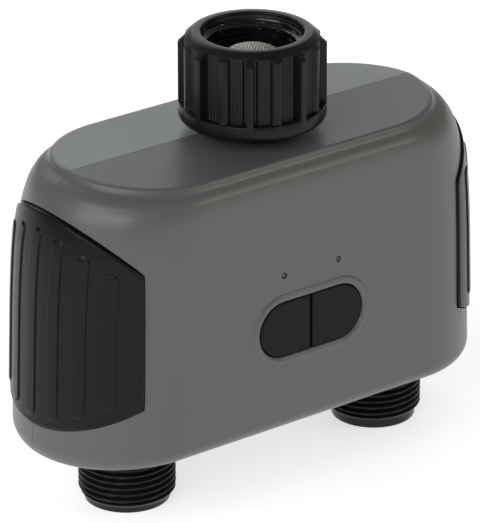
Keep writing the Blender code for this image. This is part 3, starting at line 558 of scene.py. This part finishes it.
def grip(name, end):
    """A ribbed cover around one end: a fine sheet shaped by its edges and ribs."""
    half = GRIP_RIBS // 2
    turns = []
    for k in range(-half, half + 1):
        offsets = sorted({-s for s in RIB_STEPS} | set(RIB_STEPS))
        turns += [k * GRIP_RIB_STEP + s / HALF_DEPTH for s in offsets]
        if k < half:
            room = GRIP_RIB_STEP - 2 * RIB_STEPS[-1] / HALF_DEPTH
            turns += [turns[-1] + room * i / 5 for i in range(1, 5)]
    turns = np.array(turns)
    reach = turns[-1]
    spread = np.array([0.25, 0.5, 0.75])
    steps = np.array(EDGE_STEPS)
    middle = np.linspace(0.0, 1.0, 190)

    def layout(z):
        """Body size, and each point's angle, at the heights reached so far."""
        a, b = level_at(z)
        front = GRIP_X - GRIP_LEAN * (z - GRIP_FRONT_Z[0]) / (GRIP_FRONT_Z[1] - GRIP_FRONT_Z[0])
        limit = np.arccos(np.clip((front - (a - b)) / b, -1.0, 1.0))
        edge = limit[:, -1:] - steps[::-1] / b[:, -1:]
        inner = reach + spread * (edge[:, :1] - reach)
        fixed = np.broadcast_to(turns, (len(z), len(turns)))
        return a, b, limit, np.hstack([-edge[:, ::-1], -inner[:, ::-1], fixed, inner, edge])

    rows = 2 * len(steps) + len(middle) - 2
    columns = len(turns) + 2 * (len(steps) + len(spread))
    low_rows, high_rows = slice(0, len(steps)), slice(rows - len(steps), rows)
    z = np.full((rows, columns), 55.0)
    for _ in range(12):
        a, b, limit, t = layout(z)
        x = a - b + b * np.cos(t)
        side = (limit - np.abs(t)) * b
        head = GRIP_X - GRIP_LEAN
        top = (GRIP_FRONT_Z[1] + GRIP_TOP_SLOPE * (x - head)
               - corner_cut(side, GRIP_TOP_SLOPE * EDGE_TURN, GRIP_CORNER))
        bottom = (GRIP_FRONT_Z[0] + GRIP_BOTTOM_SLOPE * (x - GRIP_X)
                  + corner_cut(side, -GRIP_BOTTOM_SLOPE * EDGE_TURN, GRIP_CORNER))
        share = np.concatenate([np.zeros(len(steps) - 1), middle, np.ones(len(steps) - 1)])
        z = bottom + steps[-1] + (top - bottom - 2 * steps[-1]) * share[:, None]
        z[low_rows] = bottom[low_rows] + steps[:, None]
        z[high_rows] = top[high_rows] - steps[::-1, None]
    low_gap = (z - bottom) * LOW_EDGE_LEAN
    high_gap = (top - z) * HIGH_EDGE_LEAN
    near = np.maximum(GRIP_EDGE * 2 - np.stack([side, low_gap, high_gap]), 0.0)
    inset = np.clip(GRIP_EDGE * 2 - np.sqrt((near ** 2).sum(axis=0)), 0.0, GRIP_EDGE)
    height = GRIP_PROUD - GRIP_EDGE + np.sqrt(np.maximum(
        GRIP_EDGE ** 2 - (GRIP_EDGE - inset) ** 2, 0.0))
    for k in range(-half, half + 1):
        turn = k * GRIP_RIB_STEP
        ends = []
        for level, base, slope in (
                (RIB_LOW_LEVEL, GRIP_FRONT_Z[0] + RIB_ABOVE_BOTTOM + RIB_HALF,
                 RIB_BOTTOM_SLOPE),
                (RIB_HIGH_LEVEL, GRIP_FRONT_Z[1] - RIB_BELOW_TOP - RIB_HALF,
                 RIB_TOP_SLOPE)):
            ra, rb = level_at(level)
            ends.append(base + slope * (ra - rb + rb * math.cos(turn) - GRIP_X))
        along = np.maximum(np.maximum(ends[0] - z, z - ends[1]), 0.0)
        off = np.hypot((t - turn) * b, along)
        edge = np.clip((off - RIB_HALF + RIB_EDGE) / RIB_EDGE, 0.0, 1.0)
        height = height + RIB_HEIGHT * np.sqrt(1.0 - edge ** 2)
    crown = np.clip((z - CROWN_START) / (CROWN_FULL - CROWN_START), 0, 1) * CROWN

    def shape(out):
        px = end * (a - b + (b + out) * np.cos(t))
        py = (b + out) * np.sin(t)
        return np.stack([px, py, z - crown * np.abs(py)], axis=-1).reshape(-1, 3)

    vertices = [tuple(v) for v in shape(height)] + [tuple(v) for v in
                                                    shape(np.full_like(z, -GRIP_SUNK))]
    count = rows * columns
    faces = grid_faces(rows, columns, wrap=False)
    faces += grid_faces(rows, columns, wrap=False, start=count)
    border = (list(range(columns)) + [r * columns + columns - 1 for r in range(1, rows)]
              + [(rows - 1) * columns + c for c in range(columns - 2, -1, -1)]
              + [r * columns for r in range(rows - 2, 0, -1)])
    for p, q in zip(border, border[1:] + border[:1]):
        faces.append((p, q, count + q, count + p))
    return mesh_object(name, vertices, faces, 55)


# ---- nut ---------------------------------------------------------------------------------
NUT_RIBS, NUT_RIB_TURN = 8, math.radians(5.8)
NUT_TOP_R, NUT_MOUTH_R, NUT_CONE = 16.4, 13.75, 1.06
NUT_FLANGE_Z, NUT_LIP_Z = 104.4, 103.4
NUT_MEAN_R, NUT_THREAD_DEPTH = 18.6, 1.45
NUT_THREAD_FROM, NUT_THREAD_TO = (106.5, 108.5), (121.2, 122.6)
BAY = TAU / NUT_RIBS
# (arc length from a rib's middle, radius) across the rib and the groove beside it
RIB_SECTION = [(0.0, NUT_R), (0.78, NUT_R), (0.92, NUT_R - 0.12), (1.0, 18.2), (1.12, 17.75),
               (1.7, 17.75), (1.85, 17.95)]
FLUTE_END, FLUTES, FLUTE_R, FLUTE_HEIGHT = 5.8, 4, 17.92, 0.24
LOBE_HALF, LOBE_R, LOBE_HEIGHT = 1.5, 18.1, 1.15


def nut_wall(angle):
    """Radius of the nut's wall around one bay: rib, groove, fine flutes and a broad lobe."""
    off = abs((angle - NUT_RIB_TURN + BAY / 2) % BAY - BAY / 2) * NUT_MEAN_R
    start = RIB_SECTION[-1][0]
    if off <= start:
        return float(np.interp(off, [m[0] for m in RIB_SECTION], [m[1] for m in RIB_SECTION]))
    if off <= FLUTE_END:
        phase = (off - start) / (FLUTE_END - start) * FLUTES
        return FLUTE_R + FLUTE_HEIGHT * abs(math.sin(math.pi * phase)) ** 0.8
    across = (BAY / 2 * NUT_MEAN_R - off) / LOBE_HALF
    return LOBE_R + LOBE_HEIGHT * math.sqrt(max(1.0 - across * across, 0.0))


def female_thread(angle, radius, z):
    """Thread inside the nut, fading out above and below."""
    share = smoothstep(*NUT_THREAD_FROM, z) * (1 - smoothstep(*NUT_THREAD_TO, z))
    phase = (z / THREAD_PITCH - angle / TAU) % 1.0
    ridge = max(0.0, 1.0 - abs(phase - 0.5) / 0.36)
    return radius - NUT_THREAD_DEPTH * share * min(1.0, ridge * 1.3)


def nut():
    low, high = NUT_LOW.z, NUT_HIGH.z
    per_bay = 90
    sides = NUT_RIBS * per_bay
    angles = [NUT_RIB_TURN + BAY * (k / per_bay - 0.5) for k in range(sides)]
    walls = np.array([nut_wall(t) for t in angles])
    rows = []

    def ring(z, radius):
        rows.append([(r, z) for r in np.broadcast_to(radius, sides)])

    for r, z in [(NUT_MOUTH_R, high - 0.42), (NUT_MOUTH_R + 0.12, high - 0.16),
                 (NUT_MOUTH_R + 0.32, high - 0.03), (NUT_MOUTH_R + 0.6, high),
                 (NUT_TOP_R - 0.5, high), (NUT_TOP_R - 0.15, high - 0.08),
                 (NUT_TOP_R + 0.15, high - 0.3)]:
        ring(z, r)
    cone_steps, wall_steps = 25, 10
    cone_low = high - (NUT_R - NUT_TOP_R) / NUT_CONE - 0.3
    for i in range(1, cone_steps + 1):
        z = high - 0.3 - (high - 0.3 - cone_low) * i / cone_steps
        ring(z, np.minimum(walls, NUT_TOP_R + (high - z) * NUT_CONE))
    for i in range(1, wall_steps):
        ring(cone_low - (cone_low - NUT_FLANGE_Z - 0.5) * i / wall_steps, walls)
    for lift, out in [(0.45, 0.0), (0.2, 0.12), (0.08, 0.35), (0.02, 0.7), (-0.1, 0.93),
                      (-0.35, 1.0)]:
        ring(NUT_FLANGE_Z + lift, walls + (NUT_R - walls) * out)
    for r, z in [(NUT_R, low + 1.6), (NUT_R - 0.1, low + 1.05), (NUT_R - 0.4, low + 0.5),
                 (NUT_R - 0.85, low + 0.15), (NUT_R - 1.5, low), (11.6, low),
                 (11.6, NUT_LIP_Z), (13.0, NUT_LIP_Z + GAP)]:
        ring(z, r)
    vertices = []
    for row in rows:
        for (r, z), t in zip(row, angles):
            vertices.append((r * math.cos(t), PLUMB_Y + r * math.sin(t), z))
    shell = mesh_object("inlet_nut_skin", vertices, grid_faces(len(rows), sides), 38)
    steps, bore_sides, bore = 170, 144, []
    start, stop = high - 0.42, NUT_LIP_Z + GAP
    for i in range(steps + 1):
        z = start - (start - stop) * i / steps
        for k in range(bore_sides):
            t = TAU * k / bore_sides
            flare = smoothstep(high - 2.0, high - 0.42, z)
            out = female_thread(t, NUT_MOUTH_R - 0.3 * (1 - flare), z)
            bore.append((out * math.cos(t), PLUMB_Y + out * math.sin(t), z))
    inside = mesh_object("inlet_nut_thread", bore, grid_faces(steps + 1, bore_sides), 60)
    face_axis(inside, 0.0, PLUMB_Y)
    return shell, inside


def face_axis(obj, x, y):
    """Turn every face of an open tube toward its axis."""
    bm = bmesh.new()
    bm.from_mesh(obj.data)
    away = [f for f in bm.faces
            if f.normal.dot(f.calc_center_median() - Vector(mm(x, y, 0))) > 0]
    bmesh.ops.reverse_faces(bm, faces=away)
    bm.to_mesh(obj.data)
    bm.free()


# ---- outlets -----------------------------------------------------------------------------
THREAD_TOP_Z, NECK_Z, OUTLET_RIM_R = 17.2, 17.6, 11.7


def outlet(name, x, turn, lip):
    """Threaded spigot down to its rim, its thread started at the given turn."""
    start, end = lip - 0.95, THREAD_TOP_Z
    profile = [(13.2, 23.2), (17.0, 23.2), (17.0, 20.75), (THREAD_R, 20.75)]
    steps = 150
    for i in range(steps + 1):
        z = NECK_Z - (NECK_Z - lip) * i / steps
        taper = max(0.0, (lip + 1.75 - z) * 0.85)
        profile.append((THREAD_R - taper, z))
    rim = OUTLET_RIM_R
    profile += [(rim + 0.02, lip - 0.06), (rim, lip - 0.2), (rim, 0.3), (rim - 0.08, 0.1),
                (rim - 0.28, 0.0), (9.25, 0.0), (9.08, 0.08), (9.0, 0.25), (9.0, 34.0),
                (7.0, 38.0), (7.0, 59.7), (8.6, 59.7), (9.1, 58.5), (9.1, 38.6), (13.0, 38.6),
                (13.0, 36.0), (11.0, 36.0), (11.0, 23.2)]

    def bend(t, r, z):
        if r < OUTLET_RIM_R + 0.01 or z > NECK_Z + 0.4 or z < lip:
            return r
        share = (smoothstep(start, start + 1.0, z)
                 * (1 - smoothstep(end - 0.6, end + 0.2, z)))
        phase = (z / THREAD_PITCH - t / TAU + turn) % 1.0
        valley = min(1.0, max(0.0, 1.0 - abs(phase - 0.5) / 0.42) * 1.25)
        return min(r, THREAD_R - THREAD_DEPTH * share * valley)

    return turned(name, profile, x, PLUMB_Y, sides=144, smooth=50, bend=bend)


# ---- filter ------------------------------------------------------------------------------
FILTER_FOOT_Z, FILTER_TOP_Z = 110.3, 120.3
FILTER_CROWN_R, FILTER_R, FILTER_BEND_R = 14.0, 8.8, 7.2
WEAVE_PITCH, WEAVE_TURN, WEAVE_SINK = 0.78, math.radians(41.85), 0.25
# (wire radius, how far it swings over and under) for the cross and the main wires
CROSS_WIRE, MAIN_WIRE = (0.06, 0.14), (0.16, 0.09)


def dome_height(r):
    """Height of the filter cloth: a round crown that steepens into its side."""
    crown = FILTER_TOP_Z - FILTER_CROWN_R + math.sqrt(max(FILTER_CROWN_R ** 2 - r * r, 0.0))
    edge = min(max((r - FILTER_BEND_R) / (FILTER_R - FILTER_BEND_R), 0.0), 1.0)
    return crown + (FILTER_FOOT_Z - crown) * (1 - math.sqrt(1 - edge * edge))


def mesh_filter():
    """Woven wires laid over a dome, with a pressed rim."""
    pitch, radius, turn = WEAVE_PITCH, FILTER_R - 0.02, WEAVE_TURN
    count = int(radius / pitch)
    curves = []
    for way, (wire, swing) in enumerate((CROSS_WIRE, MAIN_WIRE)):
        curve = bpy.data.curves.new("filter_weave", "CURVE")
        curve.dimensions = "3D"
        curve.bevel_depth = mm(wire)
        curve.bevel_resolution = 1
        for i in range(-count, count + 1):
            offset = i * pitch
            half = math.sqrt(max(radius ** 2 - offset ** 2, 0.0))
            if half < 1.0:
                continue
            steps = max(int(4 * half / pitch), 4)
            spline = curve.splines.new("POLY")
            spline.points.add(steps)
            for k, point in enumerate(spline.points):
                s = -half + 2 * half * k / steps
                over = math.cos(math.pi * s / pitch) * (1 if (i + way) % 2 else -1)
                u, v = (s, offset) if way else (offset, s)
                x = u * math.cos(turn) - v * math.sin(turn)
                y = u * math.sin(turn) + v * math.cos(turn)
                z = dome_height(math.hypot(u, v)) - WEAVE_SINK + swing * over
                point.co = (*mm(x, PLUMB_Y + y, z), 1.0)
        curves.append(curve)
    bm = bmesh.new()
    for curve in curves:
        wires = bpy.data.objects.new("filter_weave", curve)
        bpy.context.scene.collection.objects.link(wires)
        bpy.context.view_layer.update()
        seen = wires.evaluated_get(bpy.context.evaluated_depsgraph_get())
        mesh = bpy.data.meshes.new_from_object(seen)
        bm.from_mesh(mesh)
        bpy.data.objects.remove(wires, do_unlink=True)
        bpy.data.meshes.remove(mesh)
    mesh = bpy.data.meshes.new("inlet_filter_weave")
    bm.to_mesh(mesh)
    bm.free()
    made = bpy.data.objects.new("inlet_filter_weave", mesh)
    bpy.context.scene.collection.objects.link(made)
    shade(made, 60)
    foot = FILTER_FOOT_Z
    rim = turned("inlet_filter_rim", [(8.4, foot), (9.0, foot + 0.15), (11.8, foot),
                                      (12.1, foot - 0.3), (12.1, foot - 0.8), (8.5, foot - 0.8)],
                 0.0, PLUMB_Y)
    return made, rim


# ---- buttons -----------------------------------------------------------------------------
BUTTON_SHRINK, BUTTON_DISH, BUTTON_BACK_Y = 0.12, 0.10, -26.4


def button(name, end):
    """Half-stadium button: rounded edges, a slight dish and the slot between the two."""
    straight = BUTTON_HALF - BUTTON_R
    radius = BUTTON_R - BUTTON_SHRINK
    split = BUTTON_SPLIT / 2
    outline = ([(end * split, BUTTON_Z - radius)]
               + [(end * x, z) for x, z in arc(straight, BUTTON_Z, radius, -90, 90, 40)]
               + [(end * split, BUTTON_Z + radius)])
    outline = np.array(outline)
    centre = np.array([end * (split + straight + radius) / 2, BUTTON_Z])
    face = BUTTON_LOW.y
    layers = [(0.0, BUTTON_BACK_Y), (0.0, face + 0.4), (0.06, face + 0.18),
              (0.2, face + 0.04), (0.4, face)]
    vertices, count = [], len(outline)

    def inset(points, by):
        ahead, behind = np.roll(points, -1, 0), np.roll(points, 1, 0)
        along = ahead - behind
        along /= np.linalg.norm(along, axis=1)[:, None]
        normal = np.stack([along[:, 1], -along[:, 0]], 1)
        flip = np.sign(((points - centre) * normal).sum(1))[:, None]
        return points - normal * flip * by

    for by, y in layers:
        for x, z in inset(outline, by):
            vertices.append((x, y, z))
    faces = grid_faces(len(layers), count)
    inner = inset(outline, 0.4)
    rings = 10
    for i in range(1, rings + 1):
        share = i / rings
        for x, z in inner + (centre - inner) * share:
            vertices.append((x, face + BUTTON_DISH * smoothstep(0.0, 1.0, share), z))
    start = (len(layers) - 1) * count
    faces += grid_faces(rings + 1, count, start=start)
    faces.append(tuple(range(count)))
    return mesh_object(name, vertices, faces, 55)


# ---- battery door and screws -------------------------------------------------------------
DOOR_INSIDE_Y, DOOR_CORNER, DOOR_FRAME, DOOR_FIELD_DEPTH = 28.4, 3.0, 2.2, 0.35
DOOR_FLUTES, DOOR_FLUTE_R, DOOR_FLUTE_STEP, DOOR_FLUTE_HALF = 6, 0.75, 1.8, 9.0


def door():
    """Battery cover: rounded plate, raised edge, grip flutes, snap notch and knuckles."""
    low, high = COVER_Z
    middle, half = (low + high) / 2, (high - low) / 2
    wide, face = COVER_HIGH.x, HALF_DEPTH + PROUD
    plate = prism("battery_door", rounded_rectangle(wide, half, DOOR_CORNER, middle, 16),
                  DOOR_INSIDE_Y, face)
    cutters = []
    field = prism("door_field", rounded_rectangle(wide - DOOR_FRAME, half - DOOR_FRAME, 2.0,
                                                  middle, 16), face - DOOR_FIELD_DEPTH, 35.0)
    boolean(plate, field)
    cutters.append(field)
    for k in range(DOOR_FLUTES):
        z, reach = high - 6.0 - k * DOOR_FLUTE_STEP, DOOR_FLUTE_HALF - 0.9 * k
        flute = cylinder("door_flute", (-reach, face + 0.1, z), (reach, face + 0.1, z),
                         DOOR_FLUTE_R, 24)
        boolean(plate, flute)
        cutters.append(flute)
    pull = cylinder("door_pull", (0.0, 33.6, high + 2.2), (0.0, 26.0, high + 2.2), 5.5, 64)
    boolean(plate, pull)
    cutters.append(pull)
    for end in (1, -1):
        strap = block("strap", (end * HINGE_X - 4, HINGE_Y - 0.1, HINGE_Z),
                      (end * HINGE_X + 4, HINGE_Y + 1.2, low + 0.5))
        knuckle = cylinder("knuckle", (end * HINGE_X - 4, HINGE_Y, HINGE_Z),
                           (end * HINGE_X + 4, HINGE_Y, HINGE_Z), HINGE_R)
        bore = cylinder("bore", (end * HINGE_X - 5, HINGE_Y, HINGE_Z),
                        (end * HINGE_X + 5, HINGE_Y, HINGE_Z), 0.7)
        boolean(plate, strap, "UNION")
        boolean(plate, knuckle, "UNION")
        boolean(plate, bore)
        cutters += [strap, knuckle, bore]
    bevel(plate, 0.2, angle=50)
    apply_all(plate)
    discard(*cutters)
    return plate


def screw(name, x, z):
    """Pan head with a cross recess at the bottom of its counterbore."""
    rings = [(1.4, -14.0), (1.4, 8.3), (2.1, 8.3), (2.25, 8.45), (2.25, 9.4), (1.9, 10.0),
             (1.2, 10.25), (0.5, 10.3)]
    vertices, sides = [], 48
    for r, y in rings:
        for k in range(sides):
            t = TAU * k / sides
            vertices.append((x + r * math.cos(t), y, z + r * math.sin(t)))
    faces = grid_faces(len(rings), sides)
    faces += [tuple(range(sides)), tuple((len(rings) - 1) * sides + k for k in range(sides))]
    head = mesh_object(name, vertices, faces, 40)
    cutters = []
    for size in ((1.25, 0.28), (0.28, 1.25)):
        bar = block("cross", (x - size[0], 9.1, z - size[1]), (x + size[0], 12.0, z + size[1]))
        boolean(head, bar)
        cutters.append(bar)
    apply_all(head)
    discard(*cutters)
    return head


def cell(name, number):
    low, high = node_box(name)
    x, y = (low.x + high.x) / 2, (low.y + high.y) / 2
    radius = (high.x - low.x) / 2
    up = number % 2 == 1
    profile = [(0.05, 50.2), (2.3, 50.2), (2.7, 49.9), (2.7, 49.2), (3.4, 49.1), (5.9, 49.1),
               (6.6, 48.9), (radius, 48.3), (radius, 0.8), (6.5, 0.1), (4.5, 0.1), (4.2, 0.35),
               (0.05, 0.35)]
    placed = [(r, low.z + s if up else high.z - s) for r, s in profile]
    return turned(name + "_skin", placed, x, y, sides=64, closed=False)


# ---- plunger springs ---------------------------------------------------------------------
def coil_spring(name, low, high, wire=0.35, closed_turns=0.9, open_turns=3.1):
    """A compression spring with closed end coils, filling the box of its CAD node."""
    radius = (high.x - low.x) / 2 - wire
    x, y = (low.x + high.x) / 2, (low.y + high.y) / 2
    end_rise = closed_turns * wire * 2.15
    stops = [0.0, closed_turns, closed_turns + open_turns, 2 * closed_turns + open_turns]
    heights = [low.z + wire, low.z + wire + end_rise, high.z - wire - end_rise, high.z - wire]
    steps, around, vertices = 240, 12, []
    for i in range(steps + 1):
        turns = stops[-1] * i / steps
        t, z = TAU * turns, float(np.interp(turns, stops, heights))
        for k in range(around):
            a = TAU * k / around
            out = radius + wire * math.cos(a)
            vertices.append((x + out * math.cos(t), y + out * math.sin(t),
                             z + wire * math.sin(a)))
    faces = grid_faces(steps + 1, around)
    faces += [tuple(range(around)), tuple(steps * around + k for k in range(around))]
    return mesh_object(name, vertices, faces, 60)


# ---- build the pieces --------------------------------------------------------------------
front, back = shells()
finish_piece(front, GREY, "housing", ["front_shell"])
finish_piece(back, GREY, "housing", ["back_shell"])
finish_piece(button_rim(), GREY, "housing")
finish_piece(grip("left_grip_skin", -1), GRIP_BLACK, "housing", ["left_grip"])
finish_piece(grip("right_grip_skin", 1), GRIP_BLACK, "housing", ["right_grip"])
nut_shell, nut_thread = nut()
finish_piece(nut_shell, NYLON, "nut", ["inlet_nut"])
finish_piece(nut_thread, BORE, "nut")
for end, side, thread_turn, lip in ((-1, "left", 0.33, 1.35), (1, "right", -0.165, 2.1)):
    finish_piece(outlet(f"outlet_{side}_skin", end * OUTLET_X, thread_turn, lip), THREADS,
                 "housing", [f"outlet_{side}"])
weave, rim = mesh_filter()
finish_piece(weave, WIRE, "housing", ["inlet_filter"])
finish_piece(rim, WIRE, "housing")
finish_piece(button("button_left_skin", -1), SILICONE, "button_left", ["button_left"])
finish_piece(button("button_right_skin", 1), SILICONE, "button_right", ["button_right"])
finish_piece(door(), GREY, "cover", ["battery_cover"])
for end, side in ((-1, "left"), (1, "right")):
    for (x, z), height in zip(SCREWS, ("upper", "lower")):
        node = f"case_screw_{height}_{side}"
        finish_piece(screw(node + "_skin", end * x, z), STEEL, "housing", [node])
for number in range(1, 5):
    node = f"battery_cell_{number}"
    finish_piece(cell(node, number), SKIN, "housing", [node])
for side in ("left", "right"):
    node = f"plunger_spring_{side}"
    low, high = node_box(node)
    piece = finish_piece(coil_spring(node + "_coil", low, high), STEEL, "housing", [node])
    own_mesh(piece)

SLOT_LOOKS = {"grey_abs": GREY, "black_nylon": NYLON, "black_grip": GRIP_BLACK,
              "black_silicone": SILICONE, "black_rubber": RUBBER, "steel_mesh": WIRE,
              "steel": STEEL, "natural_pom": ACETAL, "copper_winding": COPPER,
              "board_green": BOARD, "clear_pmma": LENS, "cell_skin": SKIN}
for part in frame["record"]["subparts"]:
    node = frame["nodes"][part["node"]]
    look = SLOT_LOOKS[part["material_slot"]]
    if node.data.materials:
        node.data.materials[0] = look
    else:
        node.data.materials.append(look)


# ---- floor, light and camera -------------------------------------------------------------
def studio():
    bpy.ops.mesh.primitive_plane_add(size=6.0, location=(0, 0, 0))
    floor = bpy.context.object
    floor.name = "floor"
    pale = bpy.data.materials.new("pale_floor")
    pale.use_nodes = True
    shader = pale.node_tree.nodes["Principled BSDF"]
    shader.inputs["Base Color"].default_value = (0.80, 0.80, 0.80, 1.0)
    shader.inputs["Roughness"].default_value = 0.7
    shader.inputs["Specular IOR Level"].default_value = 0.2
    shader.inputs["Emission Color"].default_value = (1.0, 1.0, 1.0, 1.0)
    shader.inputs["Emission Strength"].default_value = 0.62
    floor.data.materials.append(pale)
    world = bpy.data.worlds.new("studio")
    world.use_nodes = True
    world.node_tree.nodes["Background"].inputs["Color"].default_value = (1.0, 0.98, 0.94, 1.0)
    world.node_tree.nodes["Background"].inputs["Strength"].default_value = 0.28
    bpy.context.scene.world = world
    cool, warm = (0.88, 0.94, 1.0), (1.0, 0.97, 0.90)
    lights = [("key", (-1.1, -0.75, 0.75), 3.6, 0.4, cool),
              ("side", (-1.2, -0.1, 0.8), 6.6, 0.8, cool),
              ("fill", (0.85, -1.1, 0.78), 2.75, 0.4, warm),
              ("back", (0.2, 1.1, 0.9), 2.4, 0.8, cool),
              ("back_right", (0.95, 1.2, 0.42), 2.6, 0.8, cool)]
    target = Vector(mm(0.0, 0.0, 60.0))
    for name, spot, power, size, tint in lights:
        lamp = bpy.data.lights.new(name, "AREA")
        lamp.energy = power
        lamp.size = size
        lamp.color = tint
        obj = bpy.data.objects.new(name, lamp)
        obj.location = spot
        obj.rotation_euler = (target - Vector(spot)).to_track_quat("-Z", "Y").to_euler()
        bpy.context.scene.collection.objects.link(obj)


def camera():
    turn, rise = math.radians(-37.47), math.radians(23.87)
    distance, focal = 1230.6, 312.65
    back = Vector((math.sin(turn) * math.cos(rise), -math.cos(turn) * math.cos(rise),
                   math.sin(rise)))
    right = Vector((math.cos(turn), math.sin(turn), 0.0))
    up = back.cross(right)
    target = Vector(mm(0.0, PLUMB_Y, 60.0))
    lens = bpy.data.cameras.new("camera")
    lens.lens = focal
    lens.shift_x, lens.shift_y = -0.0236, -0.0176
    lens.clip_end = 20.0
    obj = bpy.data.objects.new("camera", lens)
    turned_axes = Matrix((right, up, back)).transposed().to_4x4()
    obj.matrix_world = Matrix.Translation(target + back * mm(distance)) @ turned_axes
    bpy.context.scene.collection.objects.link(obj)
    bpy.context.scene.camera = obj


studio()
camera()
bpy.context.scene.view_settings.view_transform = "Standard"
